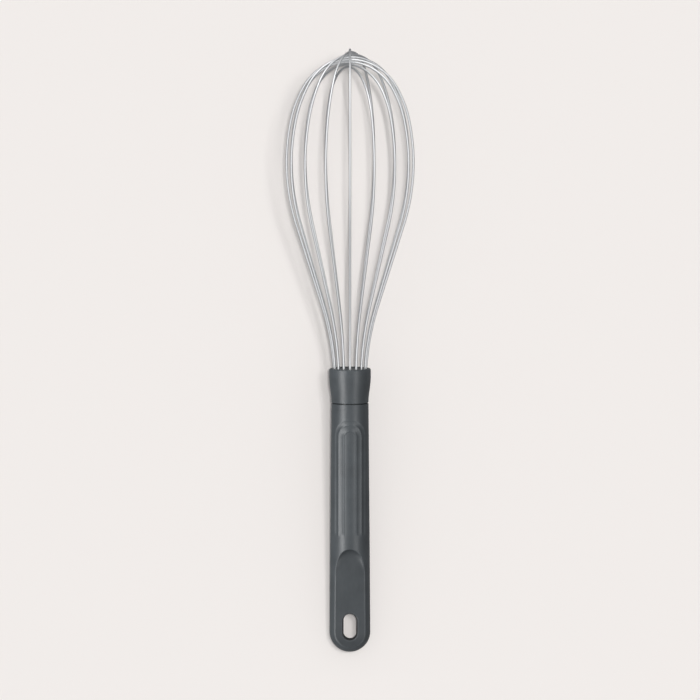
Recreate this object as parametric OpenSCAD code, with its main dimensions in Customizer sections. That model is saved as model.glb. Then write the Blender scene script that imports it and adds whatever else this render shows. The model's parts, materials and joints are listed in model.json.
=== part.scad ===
// Balloon whisk lying on a table: eight steel wire loops held in a moulded core,
// a flared collar, and a round nylon handle with a hanging slot.
// The whisk is drawn upright, with the tip of the handle at the origin and the
// wires up, and lie_down() then lays it on the XY plane with the wires towards +Y.

/* [Whisk] */
// Overall length, from the tip of the handle to the top of the outermost loop
whisk_length = 300; // [290:1:310]

/* [Wire loops] */
// Wire diameter
wire_d = 1.2; // [1:0.05:1.3]
// Largest radius of the balloon, to the middle of the wire
belly_r = 31.4; // [28:0.1:34]
// Radius of the ring of wires where they leave the core
leg_ring_r = 7.95; // [7.8:0.05:8]
// Lean of the straight legs away from the axis, in degrees
leg_lean = 3.5; // [2:0.1:5]
// Steepest lean of a wire between the core and the belly, in degrees
flare_lean = 17.6; // [16:0.1:20]
// Radius of the bend that opens the wires out above the collar
flare_bend_r = 130; // [100:1:150]
// Radius of the long bend round the belly
belly_bend_r = 102; // [90:1:115]
// Inward lean where the belly bend ends, in degrees
shoulder_lean = 12.2; // [10:0.1:14]
// Inward lean where the crown bend begins, in degrees
crown_lean = 30.6; // [28:0.1:33]
// Free space between crossing wires at the crown
crown_gap = 0.01; // [0.005:0.005:0.05]
// Height of the hidden wire ends above the tip of the handle
tail_z = 95; // [94:1:98]

/* [Core] */
// Radius of the core inside the collar
core_head_r = 8.62; // [8.6:0.01:8.65]
// Radius of the spigot that goes down into the handle
spigot_r = 7.9; // [7.85:0.01:7.95]
// Depth of the core face below the crest of the collar
core_recess = 0.3; // [0.1:0.1:1]
// Radial space round each wire in its bore
bore_space = 0.03; // [0.02:0.01:0.05]

/* [Collar] */
// Height of the crest of the collar above the tip of the handle
collar_top_z = 141.1; // [140.5:0.1:142]
// Largest radius of the flared collar
collar_r = 10.32; // [10:0.01:11]
// Width of the open seam between the collar and the handle
seam_w = 0.5; // [0.3:0.1:1]

/* [Handle] */
// Height of the top of the handle above its tip
handle_top_z = 123.7; // [123:0.05:124]
// Radius of the handle at its top
handle_top_r = 9.2; // [9.1:0.05:9.4]
// Half width of the handle at its rounded end
end_half_w = 10.06; // [9.8:0.02:10.4]
// Half thickness of the handle at its rounded end, before the scoops
end_half_t = 8.45; // [8.2:0.05:8.8]
// Half thickness left between the two scoops, at the slot
blade_half_t = 5.8; // [5.5:0.1:6.2]
// Height of the arched top of the scoops
scoop_top_z = 51.8; // [48:0.1:54]
// Depth of the arched flutes in the grip
flute_depth = 0.25; // [0.15:0.05:0.4]

/* [Hanging slot] */
// Width of the slot at its narrowest, halfway through
slot_w = 6.4; // [6:0.1:6.8]
// Width of the slot at its flared mouths
slot_mouth_w = 7.5; // [7.2:0.1:7.8]
// Length of the slot at its flared mouths
slot_mouth_length = 13.4; // [12.8:0.1:14]
// Height of the middle of the slot above the tip of the handle
slot_z = 12.77; // [12.5:0.01:13]

/* [Hidden] */

$fn = 96;
// facets of the long wire bends, and of the shapes inside a hull
bend_fn = 720;
hull_fn = 48;
// thickness of a slice, and the reach of a cutter past what it cuts
slice_h = 0.01;
reach = 20;
fit_space = 0.05;

loop_count = 8;
loop_step = 180 / loop_count;
leg_count = 2 * loop_count;
wire_r = wire_d / 2;
stack_step = wire_d + crown_gap;
// length of a junction sleeve, and what it adds to the wire's diameter
sleeve_h = 0.2;
sleeve_extra = 0.01;

// Core, collar, ring and resin
core_top_z = collar_top_z - core_recess;
core_shoulder_z = 129.5;
core_bottom_z = 104;
bore_r = wire_r + bore_space;
collar_bottom_z = handle_top_z + seam_w;
collar_bottom_r = handle_top_r;
flare_end_z = 137;
flare_steps = 14;
lip_r = 0.8;
ring_r = 6.9;
ring_hole_r = 6.25;
ring_h = 4;
ring_z = core_bottom_z - ring_h;
resin_top_z = ring_z - fit_space;
resin_bottom_z = 92;

// Handle
socket_r = spigot_r + fit_space;
grip_end_z = 51;
grip_end_half_w = 9.8;
grip_end_half_t = 9.3;
scoop_half_w = 7.3;
scoop_slope = 1;
flute_end_z = 57.5;
flute_run_out = 3;
ridge_w = 0.3;
// half widths and top heights of the three nested arches
arch_half_w = [7.4, 5.9, 3.15];
arch_top_z = [116.05, 113.65, 110.55];
slot_land_half_t = 1.2;

// The path of a wire, worked out from the leg up to the crown. A lean is the
// angle between the wire and the axis of the whisk, positive outwards.
leg_top = [leg_ring_r, core_top_z];
leg_length = (core_top_z - tail_z) / cos(leg_lean);
leg_end = leg_top - leg_length * [sin(leg_lean), cos(leg_lean)];
flare_end = leg_top + flare_bend_r * [cos(leg_lean) - cos(flare_lean), sin(flare_lean) - sin(leg_lean)];
rise = (belly_r - flare_end.x - belly_bend_r * (1 - cos(flare_lean))) / sin(flare_lean);
belly_start = flare_end + rise * [sin(flare_lean), cos(flare_lean)];
belly_centre = belly_start + belly_bend_r * [-cos(flare_lean), sin(flare_lean)];
belly_end = belly_centre + belly_bend_r * [cos(shoulder_lean), sin(shoulder_lean)];

// The whisk rests on its lowest wire and on the lower edge of the back scoop,
// where the flat floor of the scoop meets the rounded end.
function end_z(half_t) = end_half_w * (1 - sqrt(1 - pow(half_t / end_half_t, 2)));
foot_half_t = blade_half_t - (slot_z - end_z(blade_half_t)) * tan(scoop_slope);
foot_z = end_z(foot_half_t);
foot_to_centre = [belly_centre.y - foot_z, belly_centre.x - foot_half_t];
tilt = asin((belly_bend_r + wire_r) / norm(foot_to_centre)) + atan2(foot_to_centre.y, foot_to_centre.x);
lift = foot_half_t * cos(tilt) - foot_z * sin(tilt);

function crown_z(i) = whisk_length - wire_r - i * stack_step;

// Radii of the shoulder bend and the crown bend that bring loop i to its crown.
function crown_bends(i) =
    let (
        a = cos(shoulder_lean) - cos(crown_lean),
        b = cos(crown_lean),
        c = sin(crown_lean) - sin(shoulder_lean),
        d = 1 - sin(crown_lean),
        h = crown_z(i) - belly_end.y,
        det = a * d - b * c
    )
    [(belly_end.x * d - b * h) / det, (a * h - c * belly_end.x) / det];

// Middle of the lying whisk, between its rounded end and its outermost crown.
top_bend_r = crown_bends(0)[1];
near_end_y = end_half_w * cos(tilt) - norm([end_half_w * cos(tilt), end_half_t * sin(tilt)]);
far_end_y = (crown_z(0) - top_bend_r) * cos(tilt) + top_bend_r + wire_r;
middle_y = (near_end_y + far_end_y) / 2;

module lie_down() {
    translate([0, -middle_y, lift]) rotate([tilt - 90, 0, 0]) children();
}

// A bend in the XZ plane about a centre, from one direction to another.
module bend(centre, radius, from, to) {
    translate([centre.x, 0, centre.y]) rotate([90, 0, 0]) rotate([0, 0, from])
        rotate_extrude(angle = to - from, $fn = bend_fn) translate([radius, 0]) circle(d = wire_d, $fn = 24);
}

// A straight length of wire in the XZ plane.
module straight(start, lean, length) {
    translate([start.x, 0, start.y]) rotate([0, lean, 0]) cylinder(h = length, d = wire_d, $fn = 24);
}

// A hair-thin sleeve where two lengths of wire meet, so that they are one solid.
module junction(point, lean) {
    translate([point.x, 0, point.y]) rotate([0, lean, 0])
        cylinder(h = sleeve_h, d = wire_d + sleeve_extra, center = true, $fn = 24);
}

// One side of a loop, from the hidden end of its leg up to the crown bend.
module half_loop(bends) {
    shoulder_centre = belly_end - bends[0] * [cos(shoulder_lean), sin(shoulder_lean)];
    shoulder_end = shoulder_centre + bends[0] * [cos(crown_lean), sin(crown_lean)];
    straight(leg_end, leg_lean, leg_length);
    junction(leg_top, leg_lean);
    bend(leg_top + flare_bend_r * [cos(leg_lean), -sin(leg_lean)], flare_bend_r, 180 - flare_lean, 180 - leg_lean);
    junction(flare_end, flare_lean);
    straight(flare_end, flare_lean, rise);
    junction(belly_start, flare_lean);
    bend(belly_centre, belly_bend_r, -flare_lean, shoulder_lean);
    junction(belly_end, -shoulder_lean);
    bend(shoulder_centre, bends[0], shoulder_lean, crown_lean);
    junction(shoulder_end, -crown_lean);
}

// Loop 0 stands upright over the table and is outermost at the crown.
module wire_loop(i) {
    bends = crown_bends(i);
    color("silver") lie_down() rotate([0, 0, -90 - i * loop_step]) {
        half_loop(bends);
        mirror([1, 0, 0]) half_loop(bends);
        bend([0, crown_z(i) - bends[1]], bends[1], crown_lean, 180 - crown_lean);
    }
}

// The holes that the legs fill, from their hidden ends to above the core.
module leg_bores() {
    for (i = [0:leg_count - 1])
        rotate([0, 0, i * loop_step]) translate([leg_end.x, 0, leg_end.y]) rotate([0, leg_lean, 0])
            translate([0, 0, -bore_space]) cylinder(h = leg_length + reach, r = bore_r, $fn = 24);
}

module wire_core() {
    color("darkslategray") lie_down() difference() {
        union() {
            translate([0, 0, core_bottom_z]) cylinder(h = core_shoulder_z - core_bottom_z, r = spigot_r);
            translate([0, 0, core_shoulder_z]) cylinder(h = core_top_z - core_shoulder_z, r = core_head_r);
        }
        leg_bores();
    }
}

// Outline of the collar: an easing curve for the flare, then a rounded lip.
flare_outline = [
    for (s = [0:flare_steps])
        let (u = s / flare_steps)
        [collar_bottom_r + (collar_r - collar_bottom_r) * (1 - cos(180 * u)) / 2,
         collar_bottom_z + (flare_end_z - collar_bottom_z) * u]
];
lip_outline = [
    for (a = [0:15:90])
        [collar_r - lip_r * (1 - cos(a)), collar_top_z - lip_r * (1 - sin(a))]
];

module collar() {
    bore_head_r = core_head_r + fit_space;
    color("slategray") lie_down() difference() {
        rotate_extrude() polygon(concat([[0, collar_bottom_z]], flare_outline, lip_outline, [[0, collar_top_z]]));
        translate([0, 0, core_shoulder_z]) cylinder(h = reach, r = bore_head_r);
        translate([0, 0, collar_bottom_z - reach]) cylinder(h = 2 * reach, r = socket_r);
    }
}

// A thin elliptical slice, for hulls.
module slice(half_w, half_t, z) {
    translate([0, 0, z]) scale([1, half_t / half_w, 1]) cylinder(h = slice_h, r = half_w, $fn = hull_fn);
}

module grip_body() {
    hull() {
        slice(handle_top_r, handle_top_r, handle_top_z - slice_h);
        slice(grip_end_half_w, grip_end_half_t, grip_end_z);
        translate([0, 0, end_half_w]) scale([1, end_half_t / end_half_w, 1]) rotate_extrude($fn = hull_fn)
            intersection() {
                circle(r = end_half_w, $fn = hull_fn);
                translate([0, -end_half_w]) square([end_half_w, end_half_w]);
            }
    }
}

// Upright arch: straight sides under a half circle.
module arch_outline(half_w, top_z, bottom_z) {
    translate([0, top_z - half_w]) circle(r = half_w);
    translate([-half_w, bottom_z]) square([2 * half_w, top_z - half_w - bottom_z]);
}

// Stands an outline drawn in width and height up through the thickness.
module through_thickness() {
    rotate([90, 0, 0]) translate([0, 0, -reach]) linear_extrude(height = 2 * reach) children();
}

// The round bar that a flute of this depth leaves, with a run out at its lower end.
module flute_floor(depth) {
    translate([0, 0, flute_end_z + flute_run_out])
        cylinder(h = reach * 3, r1 = grip_end_half_t - depth, r2 = handle_top_r - depth);
    translate([0, 0, flute_end_z]) cylinder(h = flute_run_out, r1 = end_half_w, r2 = grip_end_half_t - depth);
}

module flute(outer, inner, depth) {
    difference() {
        through_thickness() difference() {
            arch_outline(arch_half_w[outer], arch_top_z[outer], flute_end_z);
            if (inner < len(arch_half_w))
                arch_outline(arch_half_w[inner] + ridge_w, arch_top_z[inner] + ridge_w, flute_end_z);
        }
        flute_floor(depth);
    }
}

module scoop() {
    floor_z = scoop_top_z - scoop_half_w;
    translate([0, blade_half_t, slot_z]) rotate([-scoop_slope, 0, 0]) translate([0, 0, -slot_z])
        rotate([90, 0, 0]) translate([0, 0, -reach]) linear_extrude(height = reach) {
            translate([0, floor_z]) circle(r = scoop_half_w);
            translate([-reach, -reach]) square([2 * reach, reach + floor_z]);
        }
}

// Slot outline at a given width, keeping the two end centres in place.
module slot_outline(width) {
    half_run = (slot_mouth_length - slot_mouth_w) / 2;
    for (side = [-1, 1]) translate([0, slot_z + side * half_run]) circle(d = width);
    translate([-width / 2, slot_z - half_run]) square([width, 2 * half_run]);
}

// One flared mouth: a cone at each end of the slot and a wedge between them.
module slot_mouth() {
    half_run = (slot_mouth_length - slot_mouth_w) / 2;
    mouth_depth = blade_half_t - slot_land_half_t;
    widening = (slot_mouth_w - slot_w) / 2 / mouth_depth;
    depth = reach / 2;
    r_out = slot_w / 2 + widening * depth;
    for (side = [-1, 1]) translate([0, slot_land_half_t, slot_z + side * half_run]) rotate([-90, 0, 0])
        cylinder(h = depth, r1 = slot_w / 2, r2 = r_out);
    translate([0, slot_land_half_t, slot_z - half_run]) linear_extrude(height = 2 * half_run)
        polygon([[-slot_w / 2, 0], [slot_w / 2, 0], [r_out, depth], [-r_out, depth]]);
}

module handle() {
    color("slategray") lie_down() difference() {
        grip_body();
        translate([0, 0, resin_bottom_z]) cylinder(h = reach * 2, r = socket_r);
        flute(0, 1, flute_depth);
        flute(1, 2, flute_depth);
        flute(2, 3, flute_depth / 2);
        scoop();
        mirror([0, 1, 0]) scoop();
        through_thickness() slot_outline(slot_w);
        slot_mouth();
        mirror([0, 1, 0]) slot_mouth();
    }
}

module binding_ring() {
    color("gainsboro") lie_down() translate([0, 0, ring_z]) difference() {
        cylinder(h = ring_h, r = ring_r);
        translate([0, 0, -reach]) cylinder(h = 2 * reach, r = ring_hole_r);
    }
}

module sealing_resin() {
    color("tan") lie_down() difference() {
        translate([0, 0, resin_bottom_z]) cylinder(h = resin_top_z - resin_bottom_z, r = spigot_r);
        leg_bores();
    }
}

wire_loop(0);  // wire_loop_1
wire_loop(1);  // wire_loop_2
wire_loop(2);  // wire_loop_3
wire_loop(3);  // wire_loop_4
wire_loop(4);  // wire_loop_5
wire_loop(5);  // wire_loop_6
wire_loop(6);  // wire_loop_7
wire_loop(7);  // wire_loop_8
wire_core();
collar();
handle();
binding_ring();
sealing_resin();
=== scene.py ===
"""Looks of a balloon whisk: eight drawn steel wire loops, a flared nylon collar and a nylon handle.

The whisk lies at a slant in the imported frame, so its pieces are shaped in millimetres in the whisk's
own axes and then placed. There, x runs to the right, h is the height above the tip of the handle
along the whisk's axis, and w runs out of the front face.
"""

import json
import math

import bmesh
import bpy
import numpy as np
from mathutils import Matrix, Vector


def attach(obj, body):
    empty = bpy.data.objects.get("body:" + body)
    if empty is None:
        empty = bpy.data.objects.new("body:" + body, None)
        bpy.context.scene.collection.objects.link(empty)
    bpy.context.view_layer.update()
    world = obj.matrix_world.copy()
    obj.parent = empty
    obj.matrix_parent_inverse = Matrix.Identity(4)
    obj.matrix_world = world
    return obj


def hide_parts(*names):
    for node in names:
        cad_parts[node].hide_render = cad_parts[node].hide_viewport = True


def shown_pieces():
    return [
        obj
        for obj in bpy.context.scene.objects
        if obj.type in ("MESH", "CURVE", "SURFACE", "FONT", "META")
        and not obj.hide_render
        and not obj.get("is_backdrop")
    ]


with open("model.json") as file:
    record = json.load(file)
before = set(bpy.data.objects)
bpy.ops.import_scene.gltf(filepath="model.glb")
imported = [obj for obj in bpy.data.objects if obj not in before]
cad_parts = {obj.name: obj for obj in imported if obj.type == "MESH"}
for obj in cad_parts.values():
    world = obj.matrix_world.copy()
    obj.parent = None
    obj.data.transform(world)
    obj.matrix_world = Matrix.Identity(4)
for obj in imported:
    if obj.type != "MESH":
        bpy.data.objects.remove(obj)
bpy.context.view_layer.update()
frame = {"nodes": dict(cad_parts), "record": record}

MM = 0.001

# Wire loops, in the sizes that the CAD gives them
WIRE_D = 1.2
LOOP_COUNT = 8
WHISK_LENGTH = 300
BELLY_R = 31.4
LEG_RING_R = 7.95
LEG_LEAN = 3.5
FLARE_LEAN = 17.6
FLARE_BEND_R = 130
BELLY_BEND_R = 102
SHOULDER_LEAN = 12.2
CROWN_LEAN = 30.6
STACK_STEP = 1.21
TAIL_H = 95
CORE_TOP_H = 140.8

# Collar
COLLAR_TOP_H = 141.1
COLLAR_BOTTOM_H = 124.2
COLLAR_R = 10.32
COLLAR_BOTTOM_R = 9.2
COLLAR_FLARE_END_H = 137
COLLAR_LIP_R = 0.8
COLLAR_HEAD_BORE_R = 8.67
COLLAR_SHOULDER_H = 129.5
COLLAR_FOOT_EDGE = 0.18
COLLAR_BORE_EDGE = 0.2
# Paling of the collar's rounded edges: part rubbing, part painted highlight
COLLAR_WEAR_AND_HIGHLIGHT = {"foot": 0.8, "lip": 0.55, "bore": 0.7}

# Handle
HANDLE_TOP_H = 123.7
HANDLE_TOP_R = 9.2
HANDLE_TOP_EDGE = 0.22
GRIP_END_H = 51
GRIP_END_HALF_W = 9.8
GRIP_END_HALF_T = 9.3
END_HALF_W = 10.06
END_HALF_T = 8.45
SOCKET_R = 7.95
SOCKET_FLOOR_H = 92

# Scoops on the front and the back of the handle. Past its arch the floor climbs out of the handle.
BLADE_HALF_T = 5.8
SCOOP_SLOPE = 1
SCOOP_TOP_H = 51.8
SCOOP_HALF_W = 7.3
SCOOP_COVE_H = 3.4
SCOOP_COVE_RUN = 8.0
SCOOP_CROWN = 0.004
CLIMB_SLOPE = 8.0
CLIMB_RUN = 5

# Painted shade on the scoop's floor, and how much painted shade it gets between these heights on the way
# down to the tip
FLOOR_SHADE = 0.3
TIP_SHADE = 0.46
TIP_SHADE_H = (4.5, 9)

# The scoop's edge: how soft it is, the height over which that comes in, how much it is paled (part
# rubbing, part painted highlight) and how far that paling reaches across the edge and below the surface
EDGE_SOFTNESS = 0.32
EDGE_START_H = 2.0
EDGE_WEAR_AND_HIGHLIGHT = 0.25
EDGE_REACH = (0.35, 0.3)

# Flutes: nested arches drawn on the unrolled surface, about one centre
FLUTE_CENTRE_H = 107.35
FLUTE_EDGES = (3.2, 6.3, 8.7)
FLUTE_DEPTH = 0.24
RIDGE_W = 0.22
# Paling of the flute ridges, inner to outer: part rubbing, part painted highlight
RIDGE_WEAR_AND_HIGHLIGHT = (0.75, 0.75, 1.2)
PANEL_DROP = 0.13
PANEL_EDGE = 0.35
FLUTE_END_H = 57.5
FLUTE_RUN_OUT = 2.6

# Hanging slot
SLOT_H = 12.77
SLOT_HALF_RUN = 2.95
SLOT_LAND_R = 3.2
SLOT_MOUTH_R = 3.75
SLOT_LAND_HALF_T = 1.2
SLOT_RIM_R = 0.32
# Paling of the slot's rounded rim: part rubbing, part painted highlight
SLOT_RIM_WEAR_AND_HIGHLIGHT = 0.9
SLOT_CLEARING = 0.75

# The slot's mount is at the middle of the slot's lower round end
mount = next(m for m in frame["record"]["mounts"] if m["name"] == "hanging_slot")
RIGHT = Vector((1, 0, 0))
FRONT = Vector(mount["axis"]).normalized()
ALONG = FRONT.cross(RIGHT)
TIP = Vector(mount["pos_m"]) - (SLOT_H - SLOT_HALF_RUN) * MM * ALONG


def place(x, h, w):
    """Points of the whisk's own axes, in millimetres, as an array of points of the frame."""
    parts = (np.asarray(v, float)[..., None] * MM for v in (x, h, w))
    axes = (np.array(a) for a in (RIGHT, ALONG, FRONT))
    return np.array(TIP) + sum(part * axis for part, axis in zip(parts, axes))


# ---------------------------------------------------------------- camera, floor and lights

CAMERA_DISTANCE = 12.0
CAMERA_ELEVATION = 88.9
VIEW_WIDTH = 0.34685
MIDDLE_H = 150.2
SENSOR = 36.0
CLIP_RANGE = (0.1, 60)
FLOOR_HALF = 2.5
FLOOR_RGB = (0.83, 0.79, 0.765)
FLOOR_ROUGHNESS = 0.9
FLOOR_SPECULAR = 0.1
BACKDROP_RGB = (0.879, 0.839, 0.815)
SKY_RGB = (0.97, 0.985, 1.0)
SKY_RAMP = (-0.1, 0.95)
SKY_STRENGTH = (0.26, 0.4)
STRIP_DISTANCE = 2.0


def make_camera():
    """A long lens almost straight above the whisk."""
    camera = bpy.data.objects.new("camera", bpy.data.cameras.new("camera"))
    bpy.context.scene.collection.objects.link(camera)
    camera.data.sensor_width = SENSOR
    camera.data.lens = SENSOR * CAMERA_DISTANCE / VIEW_WIDTH
    camera.data.clip_start, camera.data.clip_end = CLIP_RANGE
    lift = math.radians(CAMERA_ELEVATION)
    back = Vector((0, -math.cos(lift), math.sin(lift)))
    target = Vector(place(0, MIDDLE_H, 0))
    camera.location = target + back * CAMERA_DISTANCE
    camera.rotation_mode = "QUATERNION"
    camera.rotation_quaternion = (-back).to_track_quat("-Z", "Y")
    bpy.context.scene.camera = camera


def make_floor():
    """The pale table. Shiny pieces don't mirror it."""
    mesh = bpy.data.meshes.new("floor")
    corners = [(-1, -1), (1, -1), (1, 1), (-1, 1)]
    mesh.from_pydata([(x * FLOOR_HALF, y * FLOOR_HALF, 0) for x, y in corners], [], [(0, 1, 2, 3)])
    floor = bpy.data.objects.new("floor", mesh)
    bpy.context.scene.collection.objects.link(floor)
    material = bpy.data.materials.new("pale_floor")
    material.use_nodes = True
    shader = material.node_tree.nodes["Principled BSDF"]
    shader.inputs["Base Color"].default_value = (*FLOOR_RGB, 1)
    shader.inputs["Roughness"].default_value = FLOOR_ROUGHNESS
    shader.inputs["Specular IOR Level"].default_value = FLOOR_SPECULAR
    mesh.materials.append(material)
    floor.visible_glossy = False
    floor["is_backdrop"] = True
    return floor


def make_world():
    """A studio, bright overhead and dim towards the table. The camera itself sees a pale backdrop."""
    world = bpy.data.worlds.new("studio")
    bpy.context.scene.world = world
    world.use_nodes = True
    tree = world.node_tree
    background = tree.nodes["Background"]
    where = tree.nodes.new("ShaderNodeTexCoord")
    split = tree.nodes.new("ShaderNodeSeparateXYZ")
    ramp = tree.nodes.new("ShaderNodeMapRange")
    ramp.interpolation_type = "SMOOTHSTEP"
    for key, value in zip(("From Min", "From Max", "To Min", "To Max"), (*SKY_RAMP, *SKY_STRENGTH)):
        ramp.inputs[key].default_value = value
    backdrop = tree.nodes.new("ShaderNodeBackground")
    backdrop.inputs["Color"].default_value = (*BACKDROP_RGB, 1)
    chosen = tree.nodes.new("ShaderNodeMixShader")
    seen = tree.nodes.new("ShaderNodeLightPath")
    background.inputs["Color"].default_value = (*SKY_RGB, 1)
    tree.links.new(where.outputs["Generated"], split.inputs[0])
    tree.links.new(split.outputs["Z"], ramp.inputs["Value"])
    tree.links.new(ramp.outputs["Result"], background.inputs["Strength"])
    tree.links.new(seen.outputs["Is Camera Ray"], chosen.inputs[0])
    tree.links.new(background.outputs[0], chosen.inputs[1])
    tree.links.new(backdrop.outputs[0], chosen.inputs[2])
    tree.links.new(chosen.outputs[0], tree.nodes["World Output"].inputs["Surface"])


def make_lamp(name, towards, strength, spread, receivers):
    """A distant softbox: where it stands as seen from the whisk, its power and its width in degrees."""
    lamp = bpy.data.objects.new(name, bpy.data.lights.new(name, "SUN"))
    bpy.context.scene.collection.objects.link(lamp)
    lamp.data.energy = strength
    lamp.data.angle = math.radians(spread)
    lamp.rotation_mode = "QUATERNION"
    lamp.rotation_quaternion = Vector(towards).to_track_quat("Z", "Y")
    lamp.light_linking.receiver_collection = receivers
    return lamp


def make_strip(name, towards, size, watts, receivers):
    """A softbox at STRIP_DISTANCE: where it stands, its width and its length along Y, and its power."""
    lamp = bpy.data.objects.new(name, bpy.data.lights.new(name, "AREA"))
    bpy.context.scene.collection.objects.link(lamp)
    lamp.data.shape = "RECTANGLE"
    lamp.data.size, lamp.data.size_y = size
    lamp.data.energy = watts
    back = Vector(towards).normalized()
    across = Vector((0, 1, 0)).cross(back).normalized()
    turn = Matrix((across, back.cross(across), back)).transposed()
    lamp.location = back * STRIP_DISTANCE
    lamp.rotation_mode = "QUATERNION"
    lamp.rotation_quaternion = turn.to_quaternion()
    lamp.light_linking.receiver_collection = receivers
    return lamp


def collection(name, pieces):
    group = bpy.data.collections.new(name)
    for piece in pieces:
        group.objects.link(piece)
    return group


def slant(side, head):
    """A direction that leans from overhead to the side and to the head end, in degrees."""
    return (math.tan(math.radians(side)), math.tan(math.radians(head)), 1)


def make_lamps(table, wires, matte_pieces):
    """Separate lamps for the table, the wires and the rest, which flags keep off each other."""
    bench = collection("lit_from_overhead", table)
    make_lamp("table_key", slant(2.3, 1), strength=1.15, spread=3, receivers=bench)
    make_lamp("table_soft", slant(12, 5), strength=0.85, spread=11, receivers=bench)
    fill = make_lamp("table_fill", slant(0, 0), strength=0.25, spread=7, receivers=bench)
    fill.data.use_shadow = False
    matte = collection("lit_by_softboxes", matte_pieces)
    make_strip("softbox_left", slant(-44, -4), size=(0.78, 3.8), watts=84, receivers=matte)
    make_strip("softbox_right", slant(35, -4), size=(0.6, 3.8), watts=29, receivers=matte)
    make_lamp("softbox_head", slant(-12, 58), strength=0.8, spread=30, receivers=matte)
    bright = collection("lit_by_wide_boxes", wires)
    make_lamp("wide_overhead", slant(-3, 6), strength=2.1, spread=125, receivers=bright)
    make_lamp("wide_head", slant(-14, 46), strength=0.15, spread=32, receivers=bright)
    make_lamp("crown_box", slant(0, 72), strength=0.95, spread=85, receivers=bright)


# ---------------------------------------------------------------- materials

SLATE = (0.036, 0.041, 0.045)
CORE_BLACK = (0.03, 0.034, 0.037)
STEEL = (0.78, 0.785, 0.795)
STEEL_ROUGHNESS = 0.38
RING_DARK = (0.46, 0.46, 0.47, 1)
RING_LIGHT = (0.66, 0.66, 0.68, 1)
RESIN_DARK = (0.33, 0.2, 0.09, 1)
RESIN_LIGHT = (0.55, 0.38, 0.19, 1)

# The range that most values of a noise fall in
NOISE_RANGE = (0.3, 0.7)

# A Mix node's colour sockets share their names with others, so they are found by index
MIX_SHARE, MIX_FIRST, MIX_SECOND, MIX_RESULT = 0, 6, 7, 2


def tint(rgb, amount):
    """This colour so many times as bright, as a value for a socket."""
    return (*(min(1.0, amount * c) for c in rgb), 1)


class Nodes:
    """Short ways to add nodes to one material. Bump distances are in metres."""

    def __init__(self, name):
        self.material = bpy.data.materials.new(name)
        self.material.use_nodes = True
        self.tree = self.material.node_tree
        self.shader = self.tree.nodes["Principled BSDF"]

    def add(self, kind, inputs=None, **settings):
        node = self.tree.nodes.new(kind)
        for key, value in settings.items():
            setattr(node, key, value)
        for key, value in (inputs or {}).items():
            self.feed(node.inputs[key], value)
        return node

    def feed(self, socket, value):
        if isinstance(value, bpy.types.NodeSocket):
            self.tree.links.new(value, socket)
        else:
            socket.default_value = value

    def coordinates(self, kind):
        return self.add("ShaderNodeTexCoord").outputs[kind]

    def stretched(self, vector, scale):
        node = self.add("ShaderNodeMapping", {"Vector": vector, "Scale": scale})
        return node.outputs["Vector"]

    def noise(self, vector, scale, detail, roughness):
        values = {"Vector": vector, "Scale": scale, "Detail": detail, "Roughness": roughness}
        return self.add("ShaderNodeTexNoise", values).outputs["Fac"]

    def specks(self, vector, scale):
        return self.add("ShaderNodeTexVoronoi", {"Vector": vector, "Scale": scale}).outputs["Distance"]

    def spread(self, value, span, onto):
        """Turns values over one span, low to high, into values over another."""
        node = self.add("ShaderNodeMapRange", {"Value": value})
        for key, number in zip(("From Min", "From Max", "To Min", "To Max"), (*span, *onto)):
            node.inputs[key].default_value = number
        return node.outputs["Result"]

    def times(self, first, second):
        return self.add("ShaderNodeMath", {0: first, 1: second}, operation="MULTIPLY").outputs[0]

    def mix(self, share, first, second):
        node = self.add("ShaderNodeMix", data_type="RGBA")
        for index, value in ((MIX_SHARE, share), (MIX_FIRST, first), (MIX_SECOND, second)):
            self.feed(node.inputs[index], value)
        return node.outputs[MIX_RESULT]

    def bump(self, height, distance, strength, normal=None):
        values = {"Height": height, "Distance": distance, "Strength": strength}
        node = self.add("ShaderNodeBump", values)
        if normal is not None:
            self.feed(node.inputs["Normal"], normal)
        return node.outputs["Normal"]

    def attribute(self, name):
        return self.add("ShaderNodeAttribute", attribute_name=name).outputs["Fac"]


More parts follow.
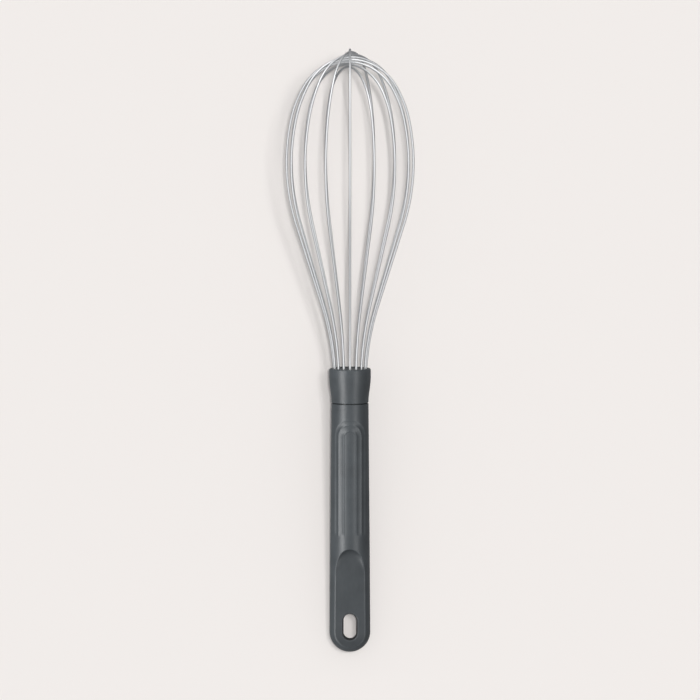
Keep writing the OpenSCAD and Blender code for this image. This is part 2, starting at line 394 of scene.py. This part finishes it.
def nylon(name, rgb, wear_and_highlight):
    """Matte glass-filled nylon: cloudy colour, fine pale specks and spark-eroded grain.

    Where the paling share isn't zero, the mesh's "edge" attribute pales the colour by up to that
    share, part rubbing and part painted highlight. Its painted-shade attribute darkens the colour
    with painted shade, and where a mesh has that painted shade its shine is duller there too.
    """
    n = Nodes(name)
    where = n.coordinates("Object")
    pale = tint(rgb, 1.9)
    cloud = n.noise(where, scale=90, detail=5, roughness=0.6)
    colour = n.mix(n.spread(cloud, NOISE_RANGE, (0, 1)), tint(rgb, 0.84), tint(rgb, 1.14))
    fleck = n.spread(n.specks(where, scale=1500), (0.05, 0.16), (0.3, 0))
    colour = n.mix(fleck, colour, pale)
    if wear_and_highlight:
        # Pale edges, broken up by scuff noise: part rubbing, part painted highlight
        scratch = n.noise(where, scale=700, detail=4, roughness=0.65)
        scuff = n.spread(scratch, (0.35, 0.7), (0.15, 1))
        worn_and_lit = n.times(n.attribute("edge"), scuff)
        colour = n.mix(n.spread(worn_and_lit, (0, 1), (0, wear_and_highlight)), colour, pale)
        # Painted shade: the painted-shade attribute darkens the colour towards a fifth of itself
        colour = n.mix(n.attribute("painted_shade"), colour, tint(rgb, 0.2))
    n.feed(n.shader.inputs["Base Color"], colour)
    rub = n.noise(n.stretched(where, (1, 0.25, 1)), scale=420, detail=5, roughness=0.6)
    n.feed(n.shader.inputs["Roughness"], n.spread(rub, NOISE_RANGE, (0.34, 0.44)))
    # Duller shine under the painted shade
    shine = n.spread(n.attribute("painted_shade"), (FLOOR_SHADE, 1), (0.42, 0.06))
    n.feed(n.shader.inputs["Specular IOR Level"], shine)
    pits = n.noise(where, scale=1100, detail=3, roughness=0.6)
    coarse = n.bump(pits, distance=0.000045, strength=0.6)
    grain = n.noise(where, scale=3200, detail=4, roughness=0.7)
    n.feed(n.shader.inputs["Normal"], n.bump(grain, distance=0.00002, strength=0.7, normal=coarse))
    return n.material


def drawn_steel(name, rgb, rough):
    """Satin drawn wire: long die lines and faint bands of tone. The mesh's UVs run along the wire."""
    n = Nodes(name)
    run = n.coordinates("UV")
    lines = n.noise(n.stretched(run, (30, 12, 1)), scale=1, detail=5, roughness=0.65)
    bands = n.noise(n.stretched(run, (2, 45, 1)), scale=1, detail=3, roughness=0.5)
    tone = n.spread(n.times(lines, bands), (0.14, 0.38), (0, 1))
    n.feed(n.shader.inputs["Base Color"], n.mix(tone, tint(rgb, 0.86), tint(rgb, 1.05)))
    n.shader.inputs["Metallic"].default_value = 1
    n.feed(n.shader.inputs["Roughness"], n.spread(lines, NOISE_RANGE, (rough - 0.05, rough + 0.08)))
    n.feed(n.shader.inputs["Normal"], n.bump(lines, distance=0.00001, strength=0.5))
    return n.material


def strip_steel(name):
    """The hidden ring: pressed strip steel with rubbed, cloudy gloss."""
    n = Nodes(name)
    where = n.coordinates("Object")
    cloud = n.noise(where, scale=240, detail=5, roughness=0.6)
    n.feed(n.shader.inputs["Base Color"], n.mix(cloud, RING_DARK, RING_LIGHT))
    n.shader.inputs["Metallic"].default_value = 1
    n.feed(n.shader.inputs["Roughness"], n.spread(cloud, NOISE_RANGE, (0.28, 0.45)))
    dents = n.noise(where, scale=1500, detail=4, roughness=0.6)
    n.feed(n.shader.inputs["Normal"], n.bump(dents, distance=0.00002, strength=0.5))
    return n.material


def cast_resin(name):
    """The hidden resin: amber, cloudy and a little uneven."""
    n = Nodes(name)
    where = n.coordinates("Object")
    cloud = n.noise(where, scale=300, detail=5, roughness=0.6)
    n.feed(n.shader.inputs["Base Color"], n.mix(cloud, RESIN_DARK, RESIN_LIGHT))
    n.feed(n.shader.inputs["Roughness"], n.spread(cloud, NOISE_RANGE, (0.18, 0.36)))
    ripples = n.noise(where, scale=500, detail=3, roughness=0.5)
    n.feed(n.shader.inputs["Normal"], n.bump(ripples, distance=0.00008, strength=0.6))
    return n.material


# ---------------------------------------------------------------- pieces


def finish_piece(mesh, name, material, node, sharp_above):
    """Turns a mesh into a piece that stands for a CAD node. Edges over so many degrees stay sharp."""
    mesh.materials.append(material)
    mesh.shade_smooth()
    mesh.set_sharp_from_angle(angle=math.radians(sharp_above))
    piece = bpy.data.objects.new(name, mesh)
    bpy.context.scene.collection.objects.link(piece)
    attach(piece, "root")
    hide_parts(node)
    return piece


def grid_faces(rows, columns):
    """Quads between rows of a closed grid, with the last column joined to the first."""
    faces = []
    for r in range(rows - 1):
        for c in range(columns):
            d = (c + 1) % columns
            faces.append((r * columns + c, r * columns + d, (r + 1) * columns + d, (r + 1) * columns + c))
    return faces


# Wires

WIRE_SIDES = 16
# degrees of a bend between two rings of points
BEND_STEP = 1.25
MM_PER_CM = 10
# how far apart the loops' UVs start, in centimetres, so that no two loops look alike
UV_SHIFT = 3


def turned(lean_from, lean_to):
    """How far a bend of radius one goes out and up while its lean changes."""
    side = 1 if lean_to > lean_from else -1
    a, b = math.radians(lean_from), math.radians(lean_to)
    return side * (math.cos(a) - math.cos(b)), side * (math.sin(b) - math.sin(a))


def crown_bends(radius, height):
    """Radii of the shoulder and the crown bends that bring a wire from this point to the axis, level."""
    out_1, up_1 = turned(-SHOULDER_LEAN, -CROWN_LEAN)
    out_2, up_2 = turned(-CROWN_LEAN, -90)
    det = out_1 * up_2 - up_1 * out_2
    return (-radius * up_2 - height * out_2) / det, (out_1 * height + radius * up_1) / det


def walk(moves, radius, height, lean):
    """Points and leans along straight lengths ("go", length) and bends ("bend", radius, lean at its end)."""
    path = [(radius, height, lean)]
    for move in moves:
        if move[0] == "go":
            radius += move[1] * math.sin(math.radians(lean))
            height += move[1] * math.cos(math.radians(lean))
            path.append((radius, height, lean))
            continue
        _, bend_r, lean_to = move
        steps = max(2, math.ceil(abs(lean_to - lean) / BEND_STEP))
        for s in range(1, steps + 1):
            now = lean + (lean_to - lean) * s / steps
            out, up = turned(lean, now)
            path.append((radius + bend_r * out, height + bend_r * up, now))
        radius, height, lean = path[-1]
    return path


def loop_path(number):
    """Half of a wire loop, from the hidden end of its leg up to the crown."""
    lean = math.radians(LEG_LEAN)
    leg = (CORE_TOP_H - TAIL_H) / math.cos(lean)
    start = (LEG_RING_R - leg * math.sin(lean), TAIL_H)
    flare_out, _ = turned(LEG_LEAN, FLARE_LEAN)
    belly_out, _ = turned(FLARE_LEAN, 0)
    out_left = BELLY_R - LEG_RING_R - FLARE_BEND_R * flare_out - BELLY_BEND_R * belly_out
    rise = out_left / math.sin(math.radians(FLARE_LEAN))
    lower = [
        ("go", leg),
        ("bend", FLARE_BEND_R, FLARE_LEAN),
        ("go", rise),
        ("bend", BELLY_BEND_R, -SHOULDER_LEAN),
    ]
    radius, height, _ = walk(lower, *start, LEG_LEAN)[-1]
    crown_h = WHISK_LENGTH - WIRE_D / 2 - number * STACK_STEP
    shoulder_r, crown_r = crown_bends(radius, crown_h - height)
    upper = [("bend", shoulder_r, -CROWN_LEAN), ("bend", crown_r, -90)]
    return walk(lower + upper, *start, LEG_LEAN)


def wire_mesh(number):
    """A round wire along the whole loop, closed by a flat cap at each end."""
    half = np.array(loop_path(number))
    # the other half runs back down from the crown: same heights, radii below zero, and the lean turned on
    other = half[-2::-1] * (-1, 1, -1) + (0, 0, -180)
    radius, height, lean = np.concatenate([half, other]).T
    lean = np.radians(lean)
    azimuth = math.radians(-90 - number * 180 / LOOP_COUNT)
    around = np.linspace(0, 2 * math.pi, WIRE_SIDES, endpoint=False)
    out_r = np.cos(lean)[:, None] * np.cos(around) * WIRE_D / 2
    out_h = -np.sin(lean)[:, None] * np.cos(around) * WIRE_D / 2
    across = np.ones(len(radius))[:, None] * np.sin(around) * WIRE_D / 2
    r = radius[:, None] + out_r
    x = r * math.cos(azimuth) - across * math.sin(azimuth)
    w = -(r * math.sin(azimuth) + across * math.cos(azimuth))
    points = place(x, height[:, None] + out_h, w).reshape(-1, 3)
    rows = len(radius)
    faces = grid_faces(rows, WIRE_SIDES)
    caps = [tuple(range(WIRE_SIDES))[::-1], tuple(range((rows - 1) * WIRE_SIDES, rows * WIRE_SIDES))]
    mesh = bpy.data.meshes.new(f"steel_loop_{number + 1}")
    mesh.from_pydata(points.tolist(), [], faces + caps)
    add_wire_uvs(mesh, radius, height, len(faces), number)
    return mesh


def add_wire_uvs(mesh, radius, height, quads, number):
    """UVs of a wire's quads, in centimetres along it and 0 to 1 round it. Those of its caps are zero."""
    step = np.hypot(np.diff(radius), np.diff(height))
    run = np.concatenate([[0], np.cumsum(step)]) / MM_PER_CM
    uv = []
    for k in range(quads):
        row, column = divmod(k, WIRE_SIDES)
        for up, side in ((0, 0), (0, 1), (1, 1), (1, 0)):
            uv += [(column + side) / WIRE_SIDES, run[row + up] + UV_SHIFT * number]
    uv += [0, 0] * (2 * WIRE_SIDES)
    mesh.uv_layers.new(name="UVMap").data.foreach_set("uv", uv)


def make_wires():
    steel = drawn_steel("wire_steel_satin", STEEL, STEEL_ROUGHNESS)
    wires = []
    for number in range(LOOP_COUNT):
        mesh = wire_mesh(number)
        wires.append(finish_piece(mesh, mesh.name, steel, f"wire_loop_{number + 1}", 60))
    return wires


# Pieces turned about the axis

TURNED_COLUMNS = 144
COLLAR_FLARE_STEPS = 26
# least height between the foot's rounded edge and the first point of the flare
COLLAR_FOOT_GAP = 0.1


def turned_mesh(name, outline, edges):
    """Turns a closed outline of (radius, height) points about the axis. edges is the paling of each point,
    part rubbing, part painted highlight.
    """
    angle = np.linspace(0, 2 * math.pi, TURNED_COLUMNS, endpoint=False)
    r, h = np.array(outline).T
    x, w = r[:, None] * np.sin(angle), r[:, None] * np.cos(angle)
    points = place(x, h[:, None] * np.ones(TURNED_COLUMNS), w).reshape(-1, 3)
    rows = len(r)
    faces = []
    for row in range(rows):
        up = (row + 1) % rows
        for c in range(TURNED_COLUMNS):
            d = (c + 1) % TURNED_COLUMNS
            corners = [row * TURNED_COLUMNS + c, row * TURNED_COLUMNS + d, up * TURNED_COLUMNS + d]
            faces.append((*corners, up * TURNED_COLUMNS + c))
    mesh = bpy.data.meshes.new(name)
    mesh.from_pydata(points.tolist(), [], faces)
    wear_and_highlight = np.repeat(np.array(edges, np.float32), TURNED_COLUMNS)
    mesh.attributes.new("edge", "FLOAT", "POINT").data.foreach_set("value", wear_and_highlight)
    return mesh


def arc(centre, radius, start, end, steps):
    """Points of a circular arc, angles in degrees."""
    angles = [math.radians(start + (end - start) * s / steps) for s in range(steps + 1)]
    return [(centre[0] + radius * math.cos(a), centre[1] + radius * math.sin(a)) for a in angles]


def collar_outline():
    """The collar's closed outline, points with their paling (part rubbing, part painted highlight): up the
    flare, over the lip and down the bore.
    """
    foot_r, foot_h = COLLAR_BOTTOM_R - COLLAR_FOOT_EDGE, COLLAR_BOTTOM_H + COLLAR_FOOT_EDGE
    outline = [(p, COLLAR_WEAR_AND_HIGHLIGHT["foot"]) for p in arc((foot_r, foot_h), COLLAR_FOOT_EDGE, -90, 0, 4)]
    for s in range(1, COLLAR_FLARE_STEPS + 1):
        u = s / COLLAR_FLARE_STEPS
        h = COLLAR_BOTTOM_H + (COLLAR_FLARE_END_H - COLLAR_BOTTOM_H) * u
        if h > foot_h + COLLAR_FOOT_GAP:
            r = COLLAR_BOTTOM_R + (COLLAR_R - COLLAR_BOTTOM_R) * (1 - math.cos(math.pi * u)) / 2
            outline.append(((r, h), 0.0))
    lip = arc((COLLAR_R - COLLAR_LIP_R, COLLAR_TOP_H - COLLAR_LIP_R), COLLAR_LIP_R, 0, 90, 10)
    outline += [(p, COLLAR_WEAR_AND_HIGHLIGHT["lip"]) for p in lip]
    bore_centre = (COLLAR_HEAD_BORE_R + COLLAR_BORE_EDGE, COLLAR_TOP_H - COLLAR_BORE_EDGE)
    outline += [(p, COLLAR_WEAR_AND_HIGHLIGHT["bore"]) for p in arc(bore_centre, COLLAR_BORE_EDGE, 90, 180, 4)]
    shoulder = [(COLLAR_HEAD_BORE_R, COLLAR_SHOULDER_H), (SOCKET_R, COLLAR_SHOULDER_H)]
    outline += [(p, 0.0) for p in (*shoulder, (SOCKET_R, COLLAR_BOTTOM_H))]
    return outline


def make_collar(material):
    outline = collar_outline()
    mesh = turned_mesh("collar_shell", [p for p, _ in outline], [e for _, e in outline])
    finish_piece(mesh, "collar_shell", material, "collar", 50)


# Handle

# Columns of a quarter of the handle: between the flutes' edges, just past them, and on round the side
FLUTE_COLUMNS = (16, 15, 12)
MARGIN_COLUMNS = 5
FLUTE_MARGIN = 1.2
SIDE_COLUMNS = 14

# Rings of the rounded end, and how far the closely ringed stretches reach past the features they are for
END_RINGS = 46
ARCH_FOOT_DROP = 8.5
ARCH_TOP_DROP = 0.8
ARCH_TOP_RISE = 0.6
FLUTE_TOP_RISE = 9.3

# The search for the surface: its outer limit in millimetres and how often the span is halved
SEARCH_R = 12.0
HALVINGS = 30
TINY = 1e-6

SLOT_POINTS = 96
SLOT_RIM_STEPS = 6
SLOT_TAPER_STEPS = 4


def smooth_least(a, b, width):
    """The lesser of two distances, blended where they are within width of each other."""
    share = np.clip(0.5 + 0.5 * (b - a) / width, 0, 1)
    return b + (a - b) * share - width * share * (1 - share)


def eased(value):
    """A step from 0 to 1 that starts and ends gently."""
    value = np.clip(value, 0, 1)
    return value * value * (3 - 2 * value)


def body_half_sizes(h):
    """Half width and half thickness of the uncut handle."""
    knots = (END_HALF_W, GRIP_END_H, HANDLE_TOP_H)
    half_w = np.interp(h, knots, (END_HALF_W, GRIP_END_HALF_W, HANDLE_TOP_R))
    half_t = np.interp(h, knots, (END_HALF_T, GRIP_END_HALF_T, HANDLE_TOP_R))
    low = np.clip(h / END_HALF_W, 0, 1)
    round_end = np.sqrt(1 - (1 - low) ** 2)
    top = np.clip((h - (HANDLE_TOP_H - HANDLE_TOP_EDGE)) / HANDLE_TOP_EDGE, 0, 1)
    softened = HANDLE_TOP_EDGE * (1 - np.sqrt(1 - top**2))
    return half_w * round_end - softened, half_t * round_end - softened


def scoop_floor(x, h):
    """Height of the scoop's floor above the axis: sloping, crowned a hair, with a cove under the arch."""
    flat = BLADE_HALF_T + (h - SLOT_H) * math.tan(math.radians(SCOOP_SLOPE)) - SCOOP_CROWN * x**2
    arch_h = SCOOP_TOP_H - SCOOP_HALF_W + np.sqrt(np.clip(SCOOP_HALF_W**2 - x**2, 0, None))
    along = 1 - np.clip((arch_h - h) / SCOOP_COVE_RUN, 0, 1)
    cove = SCOOP_COVE_H * (1 - np.sqrt(1 - along**2))
    past_arch = CLIMB_SLOPE * np.clip(h - arch_h, 0, CLIMB_RUN)
    return flat + cove + past_arch


def flute_cut(s, h):
    """Depth of the flutes, and paling of their ridges (part rubbing, part painted highlight), s millimetres
    round from the middle of the face.
    """
    d = np.hypot(s, np.clip(h - FLUTE_CENTRE_H, 0, None))
    inner, middle, outer = FLUTE_EDGES
    cut = np.zeros_like(d)
    for low, high in ((inner, middle), (middle, outer)):
        across = (d - (low + high) / 2) / ((high - low) / 2)
        cut = np.where((d >= low) & (d < high), FLUTE_DEPTH * (1 - across**2), cut)
    panel = PANEL_DROP * eased((inner - d) / PANEL_EDGE)
    cut = np.where(d < inner, panel, cut)
    ridge = np.zeros_like(d)
    for edge, wear_and_highlight in zip(FLUTE_EDGES, RIDGE_WEAR_AND_HIGHLIGHT):
        ridge = ridge + wear_and_highlight * np.exp(-(((d - edge) / RIDGE_W) ** 2))
    fade = eased((h - FLUTE_END_H) / FLUTE_RUN_OUT)
    return cut * fade, ridge * fade


def face_columns():
    """Distances round from the middle of a face to past the flutes, close together, and where they stop."""
    last = FLUTE_EDGES[-1] + FLUTE_MARGIN
    stops = (0, *FLUTE_EDGES, last)
    counts = (*FLUTE_COLUMNS, MARGIN_COLUMNS)
    fine = [np.linspace(a, b, n, endpoint=False) for a, b, n in zip(stops, stops[1:], counts)]
    return np.concatenate(fine), last


def column_angles(radius):
    """Angles of all columns on a handle of this radius, from the middle of the front, right round."""
    fine, last = face_columns()
    rest = np.linspace(last / radius, math.pi / 2, SIDE_COLUMNS, endpoint=False)
    first = np.concatenate([fine / radius, rest])
    second = math.pi - np.concatenate([first[1:], [math.pi / 2]])[::-1]
    half = np.concatenate([first, second])
    return np.concatenate([half, [math.pi], 2 * math.pi - half[:0:-1]])


def ring_heights():
    """Heights of the handle's rings, close together where the shape changes quickly."""
    angle = np.linspace(0, math.pi / 2, END_RINGS)[1:]
    heights = [END_HALF_W * (1 - np.cos(angle))]
    stops = (
        (SCOOP_TOP_H - ARCH_FOOT_DROP, 42),
        (SCOOP_TOP_H - ARCH_TOP_DROP, 38),
        (SCOOP_TOP_H + ARCH_TOP_RISE, 16),
        (FLUTE_END_H, 8),
        (FLUTE_END_H + FLUTE_RUN_OUT, 10),
        (FLUTE_CENTRE_H, 40),
        (FLUTE_CENTRE_H + FLUTE_TOP_RISE, 62),
        (HANDLE_TOP_H - HANDLE_TOP_EDGE, 10),
        (HANDLE_TOP_H, 4),
    )
    low = END_HALF_W
    for high, rings in stops:
        heights.append(np.linspace(low, high, rings + 1)[1:])
        low = high
    return np.concatenate(heights)


def handle_skin(angle, h):
    """Distance from the axis to the handle's surface, by halving, how pale its edges are there (part
    rubbing, part painted highlight) and its painted shade.
    """
    half_w, half_t = body_half_sizes(h)
    mean = np.maximum((half_w + half_t) / 2, TINY)
    turn = np.abs((angle + math.pi / 2) % math.pi - math.pi / 2)
    cut, ridge = flute_cut(turn * mean, h)
    sin, cos = np.sin(angle), np.cos(angle)

    def inside(r):
        x, w = r * sin, r * np.abs(cos)
        shell = (1 - np.hypot(x / half_w, w / half_t)) * mean - cut
        return shell, scoop_floor(x, h) - w

    low, high = np.zeros_like(h), np.full_like(h, SEARCH_R)
    softness = EDGE_SOFTNESS * eased(h / EDGE_START_H) + TINY
    for _ in range(HALVINGS):
        middle = (low + high) / 2
        is_in = smooth_least(*inside(middle), softness) > 0
        low, high = np.where(is_in, middle, low), np.where(is_in, high, middle)
    shell, floor = inside(low)
    on_floor = (floor < shell) & (h < SCOOP_TOP_H)
    # Paling along the scoop's edge: part rubbing, part painted highlight
    across, below = EDGE_REACH
    near_edge = np.exp(-(((shell - floor) / across) ** 2))
    near_edge = near_edge * np.exp(-((np.minimum(shell, floor) / below) ** 2))
    # Painted shade on the scoop's floor, more of it towards the tip
    shade = np.interp(h, TIP_SHADE_H, (TIP_SHADE, FLOOR_SHADE))
    return low, np.clip(ridge + near_edge * EDGE_WEAR_AND_HIGHLIGHT, 0, 1), on_floor * shade


def slot_loop(radius):
    """Points (x, h) round the slot: two round ends of this radius joined by straight sides."""
    found = []
    for k in range(SLOT_POINTS):
        a = 2 * math.pi * (k + 0.5) / SLOT_POINTS
        centre = SLOT_H + (SLOT_HALF_RUN if math.sin(a) > 0 else -SLOT_HALF_RUN)
        found.append((radius * math.cos(a), centre + radius * math.sin(a)))
    return found


def slot_rim():
    """Slot radius, and height above the scoop's floor, from the outside of the rounded rim inwards."""
    rim = []
    for s in range(SLOT_RIM_STEPS + 1):
        a = math.pi / 2 * s / SLOT_RIM_STEPS
        rim.append((SLOT_MOUTH_R + SLOT_RIM_R * (1 - math.sin(a)), -SLOT_RIM_R * (1 - math.cos(a))))
    return rim


def slot_side(side):
    """Rings (x, h, w) of half of the slot's wall, with their paling (part rubbing, part painted highlight):
    its rim, then its taper.
    """
    rings, wear_and_highlight = [], []
    for radius, rise in slot_rim():
        rings.append([(x, h, side * (float(scoop_floor(x, h)) + rise)) for x, h in slot_loop(radius)])
        wear_and_highlight.append(SLOT_RIM_WEAR_AND_HIGHLIGHT)
    top = BLADE_HALF_T - SLOT_RIM_R
    for step in range(1, SLOT_TAPER_STEPS + 1):
        depth = top - (top - SLOT_LAND_HALF_T) * step / SLOT_TAPER_STEPS
        share = (depth - SLOT_LAND_HALF_T) / (BLADE_HALF_T - SLOT_LAND_HALF_T)
        radius = SLOT_LAND_R + (SLOT_MOUTH_R - SLOT_LAND_R) * share
        rings.append([(x, h, side * depth) for x, h in slot_loop(radius)])
        wear_and_highlight.append(0.0)
    return rings, wear_and_highlight


def slot_rings():
    """Rings of the slot's wall from the front floor to the back floor, with the paling of each (part
    rubbing, part painted highlight).
    """
    front, front_paling = slot_side(1)
    back, back_paling = slot_side(-1)
    return front + back[::-1], front_paling + back_paling[::-1]


def in_slot_clearing(x, h, grow):
    """True inside the slot's outline grown by this much."""
    past = np.abs(h - SLOT_H) - SLOT_HALF_RUN
    return np.hypot(x, np.clip(past, 0, None)) < SLOT_MOUTH_R + SLOT_RIM_R + grow


def handle_rows():
    """x, h, w, edge paling (part rubbing, part painted highlight) and painted shade of every grid point of
    the handle's outside, then of its socket.
    """
    heights = ring_heights()
    radii = sum(body_half_sizes(np.clip(heights, FLUTE_END_H, None))) / 2
    angles = np.array([column_angles(r) for r in radii])
    h = heights[:, None] * np.ones_like(angles)
    r, worn_and_lit, dark = handle_skin(angles, h)
    x, w = r * np.sin(angles), r * np.cos(angles)
    socket = ((SOCKET_R, HANDLE_TOP_H), (SOCKET_R, SOCKET_FLOOR_H))
    for radius, height in socket:
        x = np.vstack([x, radius * np.sin(angles[-1])])
        w = np.vstack([w, radius * np.cos(angles[-1])])
        h = np.vstack([h, np.full_like(angles[-1], height)])
        worn_and_lit = np.vstack([worn_and_lit, np.zeros_like(angles[-1])])
        dark = np.vstack([dark, np.zeros_like(angles[-1])])
    return x, h, w, worn_and_lit, dark


def outside_faces(bm, grid, cleared, tip, floor):
    """Faces of the grid outside the slot's clearing, and the fans that close the tip and the socket."""
    rows, columns = cleared.shape
    for r in range(rows - 1):
        for c in range(columns):
            d = (c + 1) % columns
            if not (cleared[r, c] and cleared[r, d] and cleared[r + 1, c] and cleared[r + 1, d]):
                bm.faces.new((grid[r][c], grid[r][d], grid[r + 1][d], grid[r + 1][c]))
    for c in range(columns):
        d = (c + 1) % columns
        bm.faces.new((grid[0][d], grid[0][c], tip))
        bm.faces.new((grid[-1][c], grid[-1][d], floor))
    loose = [v for row in grid for v in row if not v.link_faces]
    bmesh.ops.delete(bm, geom=loose, context="VERTS")


def open_rims(bm):
    """The open edges that the clearing left on the front of the handle, and those on its back."""
    open_edges = [e for e in bm.edges if len(e.link_faces) == 1]
    rises = [(np.array(e.verts[0].co) - np.array(TIP)) @ np.array(FRONT) for e in open_edges]
    front = [e for e, rise in zip(open_edges, rises) if rise > 0]
    back = [e for e, rise in zip(open_edges, rises) if rise < 0]
    return front, back


def slot_faces(bm, slot, front, back):
    """The slot's wall, and the flat parts of both floors between the slot and the open edges round it."""
    for first, second in zip(slot, slot[1:]):
        for k in range(SLOT_POINTS):
            m = (k + 1) % SLOT_POINTS
            bm.faces.new((first[k], first[m], second[m], second[k]))
    for outer, ring in ((front, slot[0]), (back, slot[-1])):
        rim = [bm.edges.get((ring[k], ring[(k + 1) % SLOT_POINTS])) for k in range(SLOT_POINTS)]
        bmesh.ops.triangle_fill(bm, edges=outer + rim, use_beauty=True, use_dissolve=False)


def handle_mesh():
    """The handle's outside and socket as one grid, joined round the slot. It carries edge paling (part
    rubbing, part painted highlight) and painted shade.
    """
    x, h, w, worn_and_lit, dark = handle_rows()
    bm = bmesh.new()
    edge = bm.verts.layers.float.new("edge")
    painted_shade = bm.verts.layers.float.new("painted_shade")

    def add(xx, hh, ww, wear_and_highlight=0.0, painted_darkness=0.0):
        vert = bm.verts.new(place(xx, hh, ww))
        vert[edge] = wear_and_highlight
        vert[painted_shade] = painted_darkness
        return vert

    points = np.dstack([x, h, w, worn_and_lit, dark])
    grid = [[add(*point) for point in row] for row in points]
    tip = add(0, 0, 0)
    floor = add(0, SOCKET_FLOOR_H, 0)
    outside_faces(bm, grid, in_slot_clearing(x, h, SLOT_CLEARING), tip, floor)
    front, back = open_rims(bm)
    slot = []
    for ring, wear_and_highlight in zip(*slot_rings()):
        # Painted shade: the rim's rings get the floor's painted shade, the slot's wall the full painted
        # shade
        painted_darkness = FLOOR_SHADE if wear_and_highlight else 1.0
        slot.append([add(*point, wear_and_highlight, painted_darkness) for point in ring])
    slot_faces(bm, slot, front, back)
    bmesh.ops.recalc_face_normals(bm, faces=bm.faces)
    mesh = bpy.data.meshes.new("handle_grip")
    bm.to_mesh(mesh)
    bm.free()
    return mesh


def make_handle(material):
    finish_piece(handle_mesh(), "handle_grip", material, "handle", 55)


# CAD nodes that stay


def dress(node, material):
    """Gives a CAD node that stays its material."""
    piece = frame["nodes"][node]
    piece.data.materials.clear()
    piece.data.materials.append(material)


bpy.context.scene.view_settings.view_transform = "Standard"
make_camera()
table = make_floor()
make_world()

# The last number is how far edges are paled: part rubbing, part painted highlight
slate_nylon = nylon("slate_nylon", SLATE, 0.35)
wires = make_wires()
make_collar(nylon("collar_slate_nylon", SLATE, 0.3))
make_handle(slate_nylon)
dress("wire_core", nylon("core_black_nylon", CORE_BLACK, 0))
dress("binding_ring", strip_steel("ring_strip_steel"))
dress("sealing_resin", cast_resin("amber_resin"))
make_lamps([table], wires, [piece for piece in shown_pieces() if piece not in wires])
